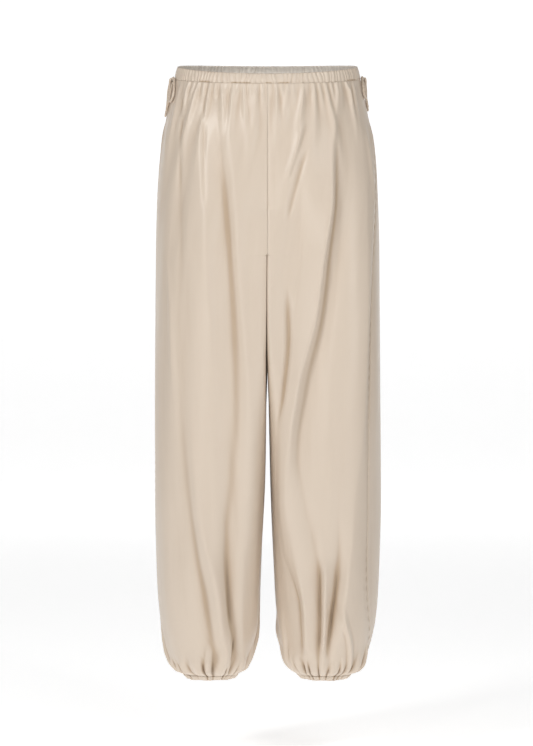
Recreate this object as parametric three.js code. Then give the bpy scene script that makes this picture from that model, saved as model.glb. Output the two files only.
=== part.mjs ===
// Balloon trousers in satin, filled out as if worn, with nobody in them.
//
// Two front and two back leg panels hang from an elastic waistband that is made as a front and a back half.
// Each leg ends in a narrow elastic hem casing that draws the wide cloth in. A thin drawcord is tied in a bow
// at each side of the waistband. Right and left are the wearer's, so the right leg is at -X.
//
// Lengths are millimetres and angles are degrees. +Z is up and -Y is the front. The origin is the centre of the
// waistband, and "down" is the distance below the seam that joins the waistband to the panels.
import * as THREE from "three";

// Waistband
const BAND_HEIGHT = 16;
const BAND_WALL = 2.4;
const BAND_RIBS = 36;
const BAND_RIB_DEPTH = 1.7;
const BAND_SWELL = 0.9;
const BAND_TAPER = 5;
const BAND_SIDE_RISE = 4.3; // the band is taller over the hips
const BAND_BACK_DROP = 2;
const WAIST_TILT = 0.2; // the back of the waist stands higher than the front
const WAIST_TILT_ENDS = 260;

// Leg panels
const CLOTH_WALL = 1.6;
const SEAM_GAP = 0.3;
const WAIST_GATHERS = 12;
const WAIST_GATHER_DEPTH = 4.2;
const WAIST_GATHER_SHORTEST = 45;
const WAIST_GATHER_LONGEST = 170;
const HEM_GATHERS = 10;
const HEM_GATHER_DEPTH = 7;
const HEM_GATHER_AT_CASING = 4.5;
const HEM_GATHER_SHORTEST = 60;
const HEM_GATHER_LONGEST = 190;
const PANEL_LENGTH = 1018;
const CROTCH_DOWN = 310;
const EDGE_CALM = 14; // folds die out this close to a seam
const HEM_TURN = { from: 990, over: 26, wall: 1.7 }; // the cloth turns under here, so its wall lies across

// Hem casings
const CASING_HEIGHT = 7.5;
const CASING_WALL = 2.2;
const CASING_RIBS = 18;
const CASING_RIB_DEPTH = 2.2;
const CASING_NARROWS = 7; // the ring turns under the balloon
const CASING_TURN = 1.4;

// Side ties
const CORD_WIDTH = 4.6;
const CORD_THICKNESS = 3.2;
const CORD_SIDES = 8;
const KNOT_SIZE = { across: 6, along: 9, tall: 8 };

const CLOTH_COLOUR = "#d6c6b2";
const cloth = new THREE.MeshStandardMaterial({ name: "satin", color: CLOTH_COLOUR, roughness: 0.42, metalness: 0 });

const WAIST_SEAM_Z = -BAND_HEIGHT / 2;
const CASING_TOP_DOWN = PANEL_LENGTH + SEAM_GAP;

// One row for each level of a leg: how far its outer and inner sides stand from the middle of the garment, how
// far it reaches to the front and to the back, how square its outer and inner halves are (2 is an ellipse), and
// how far back it sits.
// Above the crotch the two legs run into each other, so the inner side is on the far side of the middle.
const SECTIONS = [
  { down: 0, outer: 158.5, inner: -158.5, front: 106, back: 102, square: 2.0, innerSquare: 2.0, mid: 0 },
  { down: 37, outer: 166, inner: -158, front: 109, back: 107, square: 2.05, innerSquare: 2.05, mid: 0 },
  { down: 88, outer: 176, inner: -148, front: 113, back: 117, square: 2.1, innerSquare: 2.1, mid: 0 },
  { down: 157, outer: 185, inner: -122, front: 117, back: 128, square: 2.15, innerSquare: 2.15, mid: 0 },
  { down: 225, outer: 189.5, inner: -84, front: 119, back: 134, square: 2.2, innerSquare: 2.4, mid: 1 },
  { down: 265, outer: 190.6, inner: -47, front: 119, back: 133, square: 2.25, innerSquare: 4, mid: 1 },
  { down: 290, outer: 191, inner: -19, front: 119, back: 131, square: 2.25, innerSquare: 6.5, mid: 1 },
  { down: CROTCH_DOWN, outer: 191.2, inner: 0.8, front: 118, back: 129, square: 2.3, innerSquare: 9, mid: 1 },
  { down: 350, outer: 191.5, inner: 0.8, front: 117.3, back: 124.5, square: 2.3, innerSquare: 9, mid: 1 },
  { down: 420, outer: 192, inner: 0.8, front: 116, back: 118, square: 2.35, innerSquare: 8, mid: 0 },
  { down: 500, outer: 192.7, inner: 0.8, front: 114, back: 113, square: 2.3, innerSquare: 6, mid: 0 },
  { down: 600, outer: 193.2, inner: 3.2, front: 111, back: 108, square: 2.25, innerSquare: 4.2, mid: 1 },
  { down: 721, outer: 193.2, inner: 6.5, front: 107, back: 106, square: 2.15, innerSquare: 3.2, mid: 3 },
  { down: 806, outer: 191.5, inner: 9.8, front: 106, back: 108, square: 2.1, innerSquare: 2.6, mid: 5 },
  { down: 875, outer: 189, inner: 12.5, front: 104, back: 107, square: 2.1, innerSquare: 2.2, mid: 7 },
  { down: 909, outer: 186, inner: 14.8, front: 101, back: 104, square: 2.1, innerSquare: 2.1, mid: 8 },
  { down: 943, outer: 181, inner: 19, front: 95, back: 98, square: 2.05, innerSquare: 2.05, mid: 9 },
  { down: 977, outer: 173, inner: 27, front: 84, back: 87, square: 2, innerSquare: 2, mid: 10 },
  { down: 995, outer: 165.5, inner: 34.5, front: 75, back: 77, square: 2, innerSquare: 2, mid: 10 },
  { down: 1006, outer: 157.5, inner: 41.5, front: 64.5, back: 65.5, square: 2, innerSquare: 2, mid: 10 },
  { down: 1012, outer: 150.5, inner: 46, front: 56, back: 57, square: 2, innerSquare: 2, mid: 10 },
  { down: 1016, outer: 144.5, inner: 50.5, front: 48.5, back: 48.5, square: 2, innerSquare: 2, mid: 10 },
  { down: PANEL_LENGTH, outer: 140.5, inner: 53.5, front: 43.5, back: 43.5, square: 2, innerSquare: 2, mid: 10 },
];

// Where each side seam and inseam lies, in degrees forward of the outermost or innermost line of the leg, and how
// much the touching thighs are turned so that they lie against each other.
const SEAMS = [
  { down: 0, rightSide: 0, leftSide: 0, rightInner: 0, leftInner: 0, turn: 0 },
  { down: 170, rightSide: -2, leftSide: 12, rightInner: 0, leftInner: 0, turn: 0 },
  { down: 265, rightSide: -3, leftSide: 25, rightInner: 0, leftInner: 0, turn: 0 },
  { down: CROTCH_DOWN, rightSide: -4, leftSide: 31, rightInner: 0, leftInner: 0, turn: 0.03 },
  { down: 380, rightSide: -5, leftSide: 37, rightInner: 0, leftInner: 6, turn: 0.04 },
  { down: 500, rightSide: -6, leftSide: 42, rightInner: 2, leftInner: 20, turn: 0.04 },
  { down: 610, rightSide: -6, leftSide: 44, rightInner: 4, leftInner: 26, turn: 0 },
  { down: 800, rightSide: -6, leftSide: 44, rightInner: 4, leftInner: 16, turn: 0 },
  { down: 876, rightSide: -6, leftSide: 41, rightInner: 4, leftInner: 14, turn: 0 },
  { down: 915, rightSide: -6, leftSide: 34, rightInner: 3, leftInner: 12, turn: 0 },
  { down: 959, rightSide: -5, leftSide: 21, rightInner: 3, leftInner: 10, turn: 0 },
  { down: PANEL_LENGTH, rightSide: -4, leftSide: 12, rightInner: 2, leftInner: 8, turn: 0 },
];

// The largest folds: a line through three places, each a distance from the middle (x) at a level (down), and the
// fold's half-width and height. A negative height is a trough.
const FOLDS = [
  { leg: "right", face: "front", x1: 124, down1: 40, x2: 122, down2: 330, x3: 66, down3: 960, width: 24, height: 6 },
  { leg: "right", face: "front", x1: 88, down1: 130, x2: 84, down2: 330, x3: 62, down3: 600, width: 14, height: -4 },
  { leg: "right", face: "front", x1: 69, down1: 120, x2: 57, down2: 330, x3: 33, down3: 640, width: 10, height: 4.5 },
  { leg: "right", face: "front", x1: 181, down1: 290, x2: 141, down2: 700, x3: 84, down3: 985, width: 17, height: -8 },
  { leg: "right", face: "front", x1: 112, down1: 640, x2: 86, down2: 850, x3: 70, down3: 975, width: 11, height: 5 },
  { leg: "right", face: "front", x1: 66, down1: 730, x2: 62, down2: 860, x3: 56, down3: 985, width: 10, height: -6 },
  { leg: "right", face: "front", x1: 172, down1: 700, x2: 160, down2: 840, x3: 134, down3: 975, width: 13, height: 4 },
  { leg: "left", face: "front", x1: 120, down1: 25, x2: 96, down2: 300, x3: 30, down3: 690, width: 8, height: -7 },
  { leg: "left", face: "front", x1: 107, down1: 40, x2: 82, down2: 320, x3: 24, down3: 760, width: 10, height: 4 },
  { leg: "left", face: "front", x1: 144, down1: 60, x2: 142, down2: 360, x3: 116, down3: 800, width: 25, height: 6 },
  { leg: "left", face: "front", x1: 32, down1: 350, x2: 35, down2: 470, x3: 17, down3: 650, width: 8, height: -6 },
  { leg: "left", face: "front", x1: 80, down1: 760, x2: 76, down2: 880, x3: 80, down3: 990, width: 9, height: -7 },
  { leg: "left", face: "front", x1: 116, down1: 740, x2: 107, down2: 880, x3: 92, down3: 990, width: 10, height: -8 },
  { leg: "left", face: "front", x1: 136, down1: 680, x2: 127, down2: 870, x3: 104, down3: 990, width: 11, height: 5 },
  { leg: "left", face: "front", x1: 54, down1: 740, x2: 64, down2: 880, x3: 72, down3: 990, width: 9, height: 5 },
  { leg: "right", face: "back", x1: 60, down1: 60, x2: 78, down2: 330, x3: 96, down3: 760, width: 18, height: 6 },
  { leg: "right", face: "back", x1: 118, down1: 120, x2: 128, down2: 420, x3: 112, down3: 820, width: 15, height: -6 },
  { leg: "right", face: "back", x1: 44, down1: 330, x2: 52, down2: 600, x3: 76, down3: 960, width: 13, height: -6 },
  { leg: "right", face: "back", x1: 130, down1: 720, x2: 122, down2: 860, x3: 106, down3: 985, width: 11, height: 5 },
  { leg: "left", face: "back", x1: 66, down1: 80, x2: 92, down2: 380, x3: 88, down3: 820, width: 18, height: 6 },
  { leg: "left", face: "back", x1: 30, down1: 210, x2: 56, down2: 500, x3: 70, down3: 860, width: 13, height: -6 },
  { leg: "left", face: "back", x1: 140, down1: 100, x2: 132, down2: 460, x3: 120, down3: 900, width: 15, height: -6 },
  { leg: "left", face: "back", x1: 106, down1: 700, x2: 102, down2: 850, x3: 96, down3: 985, width: 10, height: 5 },
];

// The rows of points down a panel: how many columns cross it there.
const PANEL_ROWS = [
  { down: 0, waves: WAIST_GATHERS, perWave: 4 },
  { down: 10, waves: WAIST_GATHERS, perWave: 4 },
  { down: 32, waves: WAIST_GATHERS, perWave: 2 },
  { down: 62, waves: WAIST_GATHERS, perWave: 2 },
  { down: 98, waves: 20, perWave: 1 },
  { down: 142, waves: 12, perWave: 1 },
  { down: 185, waves: 12, perWave: 1 },
  { down: 222, waves: 12, perWave: 1 },
  { down: 254, waves: 10, perWave: 1 },
  { down: 278, waves: 10, perWave: 1 },
  { down: 296, waves: 10, perWave: 1 },
  { down: CROTCH_DOWN, waves: 10, perWave: 1 },
  { down: 345, waves: 10, perWave: 1 },
  { down: 405, waves: 9, perWave: 1 },
  { down: 475, waves: 9, perWave: 1 },
  { down: 555, waves: 9, perWave: 1 },
  { down: 635, waves: 9, perWave: 1 },
  { down: 710, waves: 9, perWave: 1 },
  { down: 772, waves: 9, perWave: 1 },
  { down: 825, waves: HEM_GATHERS, perWave: 1 },
  { down: 870, waves: HEM_GATHERS, perWave: 2 },
  { down: 908, waves: HEM_GATHERS, perWave: 2 },
  { down: 940, waves: HEM_GATHERS, perWave: 3 },
  { down: 967, waves: HEM_GATHERS, perWave: 3 },
  { down: 989, waves: HEM_GATHERS, perWave: 3 },
  { down: 1005, waves: HEM_GATHERS, perWave: 3 },
  { down: 1013, waves: HEM_GATHERS, perWave: 3 },
  { down: PANEL_LENGTH, waves: HEM_GATHERS, perWave: 3 },
];
const NARROWEST_COLUMN = 5; // two columns that would stand closer than this become one
const FOLD_ROWS = { from: 90, to: 900 }; // between these levels the columns follow the folds

const clamp = THREE.MathUtils.clamp;
const smooth = (value) => THREE.MathUtils.smoothstep(value, 0, 1);
const radians = THREE.MathUtils.degToRad;
const power = (value, exponent) => Math.sign(value) * Math.abs(value) ** exponent;

// The value of one column of a table at a level, by a monotone cubic between the rows.
function column(table, name, down) {
  const last = table.length - 1;
  if (down <= table[0].down) return table[0][name];
  if (down >= table[last].down) return table[last][name];
  const i = table.findIndex((row, k) => k < last && down < table[k + 1].down);
  const slope = (k) => (table[k + 1][name] - table[k][name]) / (table[k + 1].down - table[k].down);
  const tangent = (k) => {
    if (k === 0) return slope(0);
    if (k === last) return slope(last - 1);
    const before = slope(k - 1);
    const after = slope(k);
    return before * after <= 0 ? 0 : (2 * before * after) / (before + after);
  };
  const step = table[i + 1].down - table[i].down;
  const t = (down - table[i].down) / step;
  return (
    (2 * t ** 3 - 3 * t ** 2 + 1) * table[i][name] +
    (t ** 3 - 2 * t ** 2 + t) * step * tangent(i) +
    (3 * t ** 2 - 2 * t ** 3) * table[i + 1][name] +
    (t ** 3 - t ** 2) * step * tangent(i + 1)
  );
}

const levelOf = (table, names, down) =>
  Object.fromEntries(names.map((name) => [name, column(table, name, down)]));

// The line that a panel follows at one level, from its side seam to the middle seam or the inseam, as evenly
// spaced places by arc length. at(u) gives the place and the outward direction, for u from 0 to 1. Above the
// crotch the leg's round would carry on past the middle seam, and share is the part of it that is cloth.
const SECTION_STEPS = 72;
const sectionCache = new Map();

function panelSection(leg, face, down) {
  const key = `${leg} ${face} ${down}`;
  if (sectionCache.has(key)) return sectionCache.get(key);
  const size = levelOf(SECTIONS, ["outer", "inner", "front", "back", "square", "innerSquare", "mid"], down);
  const seam = levelOf(SEAMS, [`${leg}Side`, `${leg}Inner`, "turn"], down);
  const side = leg === "right" ? -1 : 1;
  const forward = face === "front" ? 1 : -1;
  const half = (size.outer - size.inner) / 2;
  const centre = (size.outer + size.inner) / 2;
  const joined = size.inner < 0;
  const start = radians(seam[`${leg}Side`]);
  const end = joined
    ? forward * Math.acos(-((centre / half) ** (size.innerSquare / 2)))
    : forward * Math.PI - radians(seam[`${leg}Inner`]);
  const pointAt = (angle) => {
    const exponent = 2 / (Math.cos(angle) < 0 ? size.innerSquare : size.square);
    const out = centre + half * power(Math.cos(angle), exponent);
    const depth = Math.sin(angle) > 0 ? size.front : size.back;
    const y = size.mid - depth * power(Math.sin(angle), exponent);
    const turned = seam.turn * (y - size.mid) * Math.max(0, -Math.cos(angle)) ** 4;
    return new THREE.Vector2(side * out + turned, y);
  };
  const points = [];
  for (let i = 0; i <= SECTION_STEPS; i += 1) points.push(pointAt(start + ((end - start) * i) / SECTION_STEPS));
  const lengths = [0];
  for (let i = 1; i < points.length; i += 1) lengths.push(lengths[i - 1] + points[i].distanceTo(points[i - 1]));
  const total = lengths[SECTION_STEPS];
  let hidden = 0;
  const last = forward * Math.PI;
  for (let i = 1; joined && i <= SECTION_STEPS; i += 1) {
    const angle = (step) => end + ((last - end) * step) / SECTION_STEPS;
    hidden += pointAt(angle(i)).distanceTo(pointAt(angle(i - 1)));
  }
  const hand = side * forward;
  const at = (u) => {
    const along = clamp(u * total, SEAM_GAP / 2, total - SEAM_GAP / 2);
    let i = 1;
    while (i < SECTION_STEPS && lengths[i] < along) i += 1;
    const share = (along - lengths[i - 1]) / Math.max(lengths[i] - lengths[i - 1], 1e-6);
    const place = points[i - 1].clone().lerp(points[i], share);
    const before = points[Math.max(i - 2, 0)];
    const after = points[Math.min(i + 1, SECTION_STEPS)];
    const way = after.clone().sub(before).normalize();
    return { place, out: new THREE.Vector2(-way.y * hand, way.x * hand) };
  };
  const uOf = (x) => {
    const reach = (i) => Math.abs(points[i].x);
    let i = points.findIndex((_, k) => k > 0 && reach(k) <= x && reach(k - 1) > x);
    if (i < 0) i = x > reach(0) ? 1 : SECTION_STEPS;
    const share = clamp((reach(i - 1) - x) / (reach(i - 1) - reach(i)), 0, 1);
    return (lengths[i - 1] + share * (lengths[i] - lengths[i - 1])) / total;
  };
  const section = { at, uOf, total, share: total / (total + hidden) };
  sectionCache.set(key, section);
  return section;
}

// An uneven but repeatable value from 0 to 1 for the gather of a given number.
const uneven = (index, salt) => 0.5 + 0.5 * Math.sin(index * 12.9 + salt * 4.7) * Math.cos(index * 4.3 + salt);

// The height of a row of gathers at u: each is a soft ridge of its own size between two valleys.
function gathers(u, count, salt, sizeOf) {
  const shifted = clamp(u + 0.14 * Math.sin(2 * Math.PI * u * 3 + salt) / count - 0.14 * Math.sin(salt) / count, 0, 1);
  const index = Math.min(Math.floor(shifted * count), count - 1);
  const phase = shifted * count - index;
  return sizeOf(index) * (0.5 - 0.5 * Math.cos(2 * Math.PI * phase));
}

const saltOf = (leg, face) => (leg === "right" ? 1 : 2) + (face === "front" ? 0 : 3);

function waistGather(leg, face, u, down) {
  const salt = saltOf(leg, face);
  return gathers(u, WAIST_GATHERS, salt, (index) => {
    const reach = THREE.MathUtils.lerp(WAIST_GATHER_SHORTEST, WAIST_GATHER_LONGEST, uneven(index, salt));
    const depth = WAIST_GATHER_DEPTH * (0.6 + 0.4 * uneven(index, salt + 9));
    return depth * (1 - smooth(down / reach));
  });
}

function hemGather(leg, face, u, down) {
  const salt = saltOf(leg, face) + 5;
  return gathers(u, HEM_GATHERS, salt, (index) => {
    const reach = THREE.MathUtils.lerp(HEM_GATHER_SHORTEST, HEM_GATHER_LONGEST, uneven(index, salt));
    const rise = smooth((down - (PANEL_LENGTH - reach)) / (reach * 0.8));
    const drawnIn = smooth((down - PANEL_LENGTH + 30) / 30);
    return rise * THREE.MathUtils.lerp(HEM_GATHER_DEPTH * (0.6 + 0.4 * uneven(index, salt + 9)), HEM_GATHER_AT_CASING, drawnIn);
  });
}

// Where a fold lies at a level: a parabola through its three places.
function foldPlace(fold, down) {
  const { x1, down1, x2, down2, x3, down3 } = fold;
  return (
    (x1 * (down - down2) * (down - down3)) / ((down1 - down2) * (down1 - down3)) +
    (x2 * (down - down1) * (down - down3)) / ((down2 - down1) * (down2 - down3)) +
    (x3 * (down - down1) * (down - down2)) / ((down3 - down1) * (down3 - down2))
  );
}

const foldsOf = (leg, face, down) =>
  FOLDS.filter((fold) => fold.leg === leg && fold.face === face && down > fold.down1 && down < fold.down3);

function foldHeight(leg, face, u, down) {
  const section = panelSection(leg, face, down);
  let height = 0;
  for (const fold of foldsOf(leg, face, down)) {
    const share = (down - fold.down1) / (fold.down3 - fold.down1);
    const strength = smooth(share * 4) * smooth((1 - share) * 4);
    const away = (u - section.uOf(foldPlace(fold, down))) * section.total;
    height += fold.height * strength * Math.exp(-((away / fold.width) ** 2));
  }
  const fromEdge = Math.min(u, 1 - u) * section.total;
  return height * smooth(fromEdge / EDGE_CALM);
}

// A point of a panel's cloth: inward is 0 on the outside and CLOTH_WALL on the inside.
function panelPoint(leg, face, u, down, inward) {
  const { place, out } = panelSection(leg, face, down).at(u);
  const raised = waistGather(leg, face, u, down) + hemGather(leg, face, u, down) + foldHeight(leg, face, u, down);
  const across = THREE.MathUtils.lerp(1, HEM_TURN.wall, smooth((down - HEM_TURN.from) / HEM_TURN.over));
  const flat = place.addScaledVector(out, raised - inward * across);
  const tilt = WAIST_TILT * (1 - smooth(down / WAIST_TILT_ENDS));
  return new THREE.Vector3(flat.x, flat.y, WAIST_SEAM_Z - SEAM_GAP - down + tilt * flat.y);
}

// Columns that catch the gathers' ridges and valleys: the seams, and each wave's places.
const WAVE_PLACES = { 1: [0], 2: [0, 0.5], 3: [0.04, 0.36, 0.64], 4: [0.1, 0.37, 0.63, 0.9] };

function waveColumns(waves, perWave) {
  const inside = [];
  for (let wave = 0; wave < waves; wave += 1)
    for (const place of WAVE_PLACES[perWave]) inside.push((wave + place) / waves);
  return [0, ...inside.filter((u) => u > 1e-6), 1];
}

function panelColumns(leg, face, row) {
  if (row.down < FOLD_ROWS.from || row.down > FOLD_ROWS.to) return waveColumns(row.waves, row.perWave);
  const section = panelSection(leg, face, row.down);
  const plain = waveColumns(row.waves, row.perWave)
    .map((v) => v / section.share)
    .filter((u) => u < 1);
  const wanted = foldsOf(leg, face, row.down).flatMap((fold) => {
    const middle = section.uOf(foldPlace(fold, row.down));
    const reach = (1.1 * fold.width) / section.total;
    return [middle - reach, middle, middle + reach];
  });
  const nearest = NARROWEST_COLUMN / section.total;
  const columns = [0, 1];
  for (const u of [...wanted, ...plain])
    if (u > nearest && u < 1 - nearest && columns.every((other) => Math.abs(other - u) > nearest)) columns.push(u);
  return columns.sort((a, b) => a - b);
}

// Adds the triangles between two rows of points. Each row is a list of { key, point }, and its keys rise.
function addStrip(triangles, upper, lower, flip) {
  let i = 0;
  let j = 0;
  const add = (a, b, c) => triangles.push(...(flip ? [a, c, b] : [a, b, c]));
  while (i < upper.length - 1 || j < lower.length - 1) {
    const upperNext = i < upper.length - 1 ? upper[i + 1].key + upper[i].key : Infinity;
    const lowerNext = j < lower.length - 1 ? lower[j + 1].key + lower[j].key : Infinity;
    if (upperNext <= lowerNext) {
      add(upper[i].point, lower[j].point, upper[i + 1].point);
      i += 1;
    } else {
      add(upper[i].point, lower[j].point, lower[j + 1].point);
      j += 1;
    }
  }
}

// A closed wall from an outer and an inner sheet. Each sheet is a list of rows, and "around" says that every row
// comes back to where it starts, so that the wall has no side edges.
function wall(outer, inner, flip, around) {
  const triangles = [];
  for (let i = 1; i < outer.length; i += 1) addStrip(triangles, outer[i - 1], outer[i], flip);
  for (let i = 1; i < inner.length; i += 1) addStrip(triangles, inner[i - 1], inner[i], !flip);
  addStrip(triangles, inner[0], outer[0], flip);
  addStrip(triangles, outer.at(-1), inner.at(-1), flip);
  if (!around) {
    const edge = (rows, pick) => rows.map((row, i) => ({ key: i / (rows.length - 1), point: pick(row).point }));
    addStrip(triangles, edge(inner, (row) => row[0]), edge(outer, (row) => row[0]), !flip);
    addStrip(triangles, edge(outer, (row) => row.at(-1)), edge(inner, (row) => row.at(-1)), !flip);
  }
  const geometry = new THREE.BufferGeometry().setFromPoints(triangles);
  geometry.computeVertexNormals();
  return geometry;
}

function legPanel(leg, face) {
  const sheet = (inward) =>
    PANEL_ROWS.map((row) =>
      panelColumns(leg, face, row).map((u) => ({
        key: u * panelSection(leg, face, row.down).share,
        point: panelPoint(leg, face, u, row.down, inward),
      })),
    );
  const flip = (leg === "right") !== (face === "front");
  return wall(sheet(0), sheet(CLOTH_WALL), flip, false);
}

// A half of the waistband, from the right side seam (u = 0) to the left one, with its ribs on the outside.
const BAND_ROWS = [0, 0.3, 0.7, 1];
const BAND_INNER_COLUMNS = 44;

function bandPoint(face, u, level, inward) {
  const waist = levelOf(SECTIONS, ["outer", "front", "back"], 0);
  const narrowing = BAND_TAPER * (1 - level) - BAND_SWELL * Math.sin(Math.PI * level);
  const across = waist.outer - narrowing;
  const depth = (face === "front" ? waist.front : waist.back) - narrowing;
  const trim = SEAM_GAP / 2 / waist.outer;
  const angle = clamp(Math.PI * u, trim, Math.PI - trim);
  const place = new THREE.Vector2(-across * Math.cos(angle), -depth * Math.sin(angle));
  const out = new THREE.Vector2(place.x / across ** 2, place.y / depth ** 2).normalize();
  if (face === "back") {
    place.y *= -1;
    out.y *= -1;
  }
  const salt = face === "front" ? 3 : 8;
  const rib = gathers(u, BAND_RIBS, salt, (index) => BAND_RIB_DEPTH * (0.6 + 0.4 * uneven(index, salt)));
  const atSide = Math.cos(angle) ** 2;
  const rise = BAND_SIDE_RISE * atSide - (face === "back" ? BAND_BACK_DROP * (1 - atSide) : 0);
  place.addScaledVector(out, inward > 0 ? -inward : rib);
  const z = BAND_HEIGHT / 2 + rise * (1 - level) - BAND_HEIGHT * level;
  return new THREE.Vector3(place.x, place.y, z + WAIST_TILT * place.y);
}

function bandHalf(face) {
  const rows = (levels, columns, inward) =>
    levels.map((level) => columns.map((u) => ({ key: u, point: bandPoint(face, u, level, inward) })));
  const ribs = waveColumns(BAND_RIBS, 4);
  const plain = waveColumns(BAND_INNER_COLUMNS, 1);
  return wall(rows(BAND_ROWS, ribs, 0), rows([0, 1], plain, BAND_WALL), face === "back", false);
}

// A hem casing: a short ribbed ring that carries on from the bottom of a leg.
const CASING_ROWS = [0, 0.5, 1];

function casingPoint(leg, u, level, inward) {
  const end = levelOf(SECTIONS, ["outer", "inner", "front", "mid"], PANEL_LENGTH);
  const side = leg === "right" ? -1 : 1;
  const narrowing = CASING_NARROWS * level ** CASING_TURN;
  const across = (end.outer - end.inner) / 2 - narrowing;
  const depth = end.front - narrowing;
  const angle = 2 * Math.PI * u;
  const out = new THREE.Vector2(Math.cos(angle), Math.sin(angle));
  const salt = leg === "right" ? 4 : 6;
  const rib = gathers(u, CASING_RIBS, salt, (index) => CASING_RIB_DEPTH * (0.6 + 0.4 * uneven(index, salt)));
  const reach = inward > 0 ? -inward : rib;
  const x = (side * (end.outer + end.inner)) / 2 + (across + reach) * out.x;
  const y = end.mid + (depth + reach) * out.y;
  return new THREE.Vector3(x, y, WAIST_SEAM_Z - SEAM_GAP - CASING_TOP_DOWN - CASING_HEIGHT * level);
}

function hemCasing(leg) {
  const rows = (levels, columns, inward) =>
    levels.map((level) => columns.map((u) => ({ key: u, point: casingPoint(leg, u % 1, level, inward) })));
  const ribs = waveColumns(CASING_RIBS, 4);
  const plain = waveColumns(CASING_RIBS, 1);
  return wall(rows(CASING_ROWS, ribs, 0), rows([0, 1], plain, CASING_WALL), false, true);
}

// The bows at the two sides. "lift" is how far a cord's middle stands off the cloth, "forward" is towards the
// front from the knot, and "down" is below it. Each bow has two loops and two free ends.
const STRANDS = [
  {
    name: "loop_front",
    steps: 18,
    path: [
      { lift: 5.85, forward: 5.7, down: 0 },
      { lift: 6.05, forward: 11, down: 5 },
      { lift: 6.25, forward: 18, down: 17 },
      { lift: 5.85, forward: 21, down: 30 },
      { lift: 5.65, forward: 17.5, down: 39 },
      { lift: 6.15, forward: 11, down: 39 },
      { lift: 7.15, forward: 7.5, down: 29 },
      { lift: 7.45, forward: 5.6, down: 17 },
      { lift: 6.05, forward: 3.4, down: 6.4 },
    ],
  },
  {
    name: "loop_back",
    steps: 18,
    path: [
      { lift: 5.85, forward: -5.2, down: 0 },
      { lift: 6.05, forward: -12, down: 4 },
      { lift: 6.05, forward: -21, down: 13 },
      { lift: 5.65, forward: -29, down: 25 },
      { lift: 5.45, forward: -31, down: 34 },
      { lift: 5.65, forward: -25, down: 38 },
      { lift: 6.25, forward: -18, down: 31 },
      { lift: 6.65, forward: -12, down: 20.5 },
      { lift: 5.55, forward: -4.6, down: 6.8 },
    ],
  },
  {
    name: "end_front",
    steps: 12,
    path: [
      { lift: 10.65, forward: 0.9, down: -1 },
      { lift: 13.2, forward: 1.6, down: 2.2 },
      { lift: 10.9, forward: 0.9, down: 13 },
      { lift: 6.7, forward: -0.6, down: 27 },
      { lift: 5.8, forward: -2.5, down: 43 },
      { lift: 5.6, forward: -3.5, down: 58 },
    ],
  },
  {
    name: "end_back",
    steps: 12,
    path: [
      { lift: 8.95, forward: -1.7, down: 3.1 },
      { lift: 11.4, forward: -5, down: 8.5 },
      { lift: 10.9, forward: -7.6, down: 20 },
      { lift: 8, forward: -10, down: 35 },
      { lift: 6, forward: -11.5, down: 50 },
      { lift: 5.6, forward: -12, down: 64 },
    ],
  },
];
const TIES = {
  right: { forward: 14, length: 1 },
  left: { forward: 2, length: 0.86 },
};
const KNOT_LIFT = 5.85;

// How far from the middle the plain cloth reaches at a depth y and a level.
function clothReach(y, down) {
  const size = levelOf(SECTIONS, ["outer", "inner", "front", "back", "square", "mid"], Math.max(down, 0));
  const half = (size.outer - size.inner) / 2;
  const depth = y < size.mid ? size.front : size.back;
  const share = Math.abs((y - size.mid) / depth) ** size.square;
  return (size.outer + size.inner) / 2 + half * (1 - share) ** (1 / size.square);
}

function tiePlace(leg, point) {
  const side = leg === "right" ? -1 : 1;
  const tie = TIES[leg];
  const y = -tie.forward - point.forward;
  const down = point.down * tie.length;
  const tilt = WAIST_TILT * (1 - smooth(down / WAIST_TILT_ENDS));
  return new THREE.Vector3(side * (clothReach(y, down) + point.lift), y, WAIST_SEAM_Z - down - tilt * tie.forward);
}

function cordTube(leg, strand) {
  const path = new THREE.CatmullRomCurve3(strand.path.map((point) => tiePlace(leg, point)));
  const outline = new THREE.Shape();
  for (let i = 0; i < CORD_SIDES; i += 1) {
    const angle = (2 * Math.PI * (i + 0.5)) / CORD_SIDES;
    outline[i ? "lineTo" : "moveTo"]((CORD_THICKNESS / 2) * Math.cos(angle), (CORD_WIDTH / 2) * Math.sin(angle));
  }
  return new THREE.ExtrudeGeometry(outline, { extrudePath: path, steps: strand.steps });
}

function knot(leg) {
  const geometry = new THREE.SphereGeometry(0.5, 10, 7);
  geometry.scale(KNOT_SIZE.across, KNOT_SIZE.along, KNOT_SIZE.tall);
  const place = tiePlace(leg, { lift: KNOT_LIFT, forward: 0, down: 0 });
  return geometry.translate(place.x, place.y, place.z);
}

const garment = new THREE.Group();
garment.name = "balloon_trousers";

function addPiece(name, geometry) {
  const mesh = new THREE.Mesh(geometry, cloth);
  mesh.name = name;
  garment.add(mesh);
}

for (const leg of ["right", "left"])
  for (const face of ["front", "back"]) addPiece(`${face}_panel_${leg}`, legPanel(leg, face));
for (const face of ["front", "back"]) addPiece(`waistband_${face}`, bandHalf(face));
for (const leg of ["right", "left"]) {
  addPiece(`hem_casing_${leg}`, hemCasing(leg));
  addPiece(`tie_knot_${leg}`, knot(leg));
  for (const strand of STRANDS) addPiece(`tie_${strand.name}_${leg}`, cordTube(leg, strand));
}

export default garment;
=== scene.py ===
"""Balloon trousers in champagne satin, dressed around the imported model.

Tables and sizes are in millimetres, down is measured below the seam under the waistband, and meshes are made
in metres. Right and left are the wearer's: the right leg is at -X, and the front is at -Y.
"""

import logging
import math
from collections.abc import Callable, Mapping, Sequence
from dataclasses import dataclass, field
from enum import Enum

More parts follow.
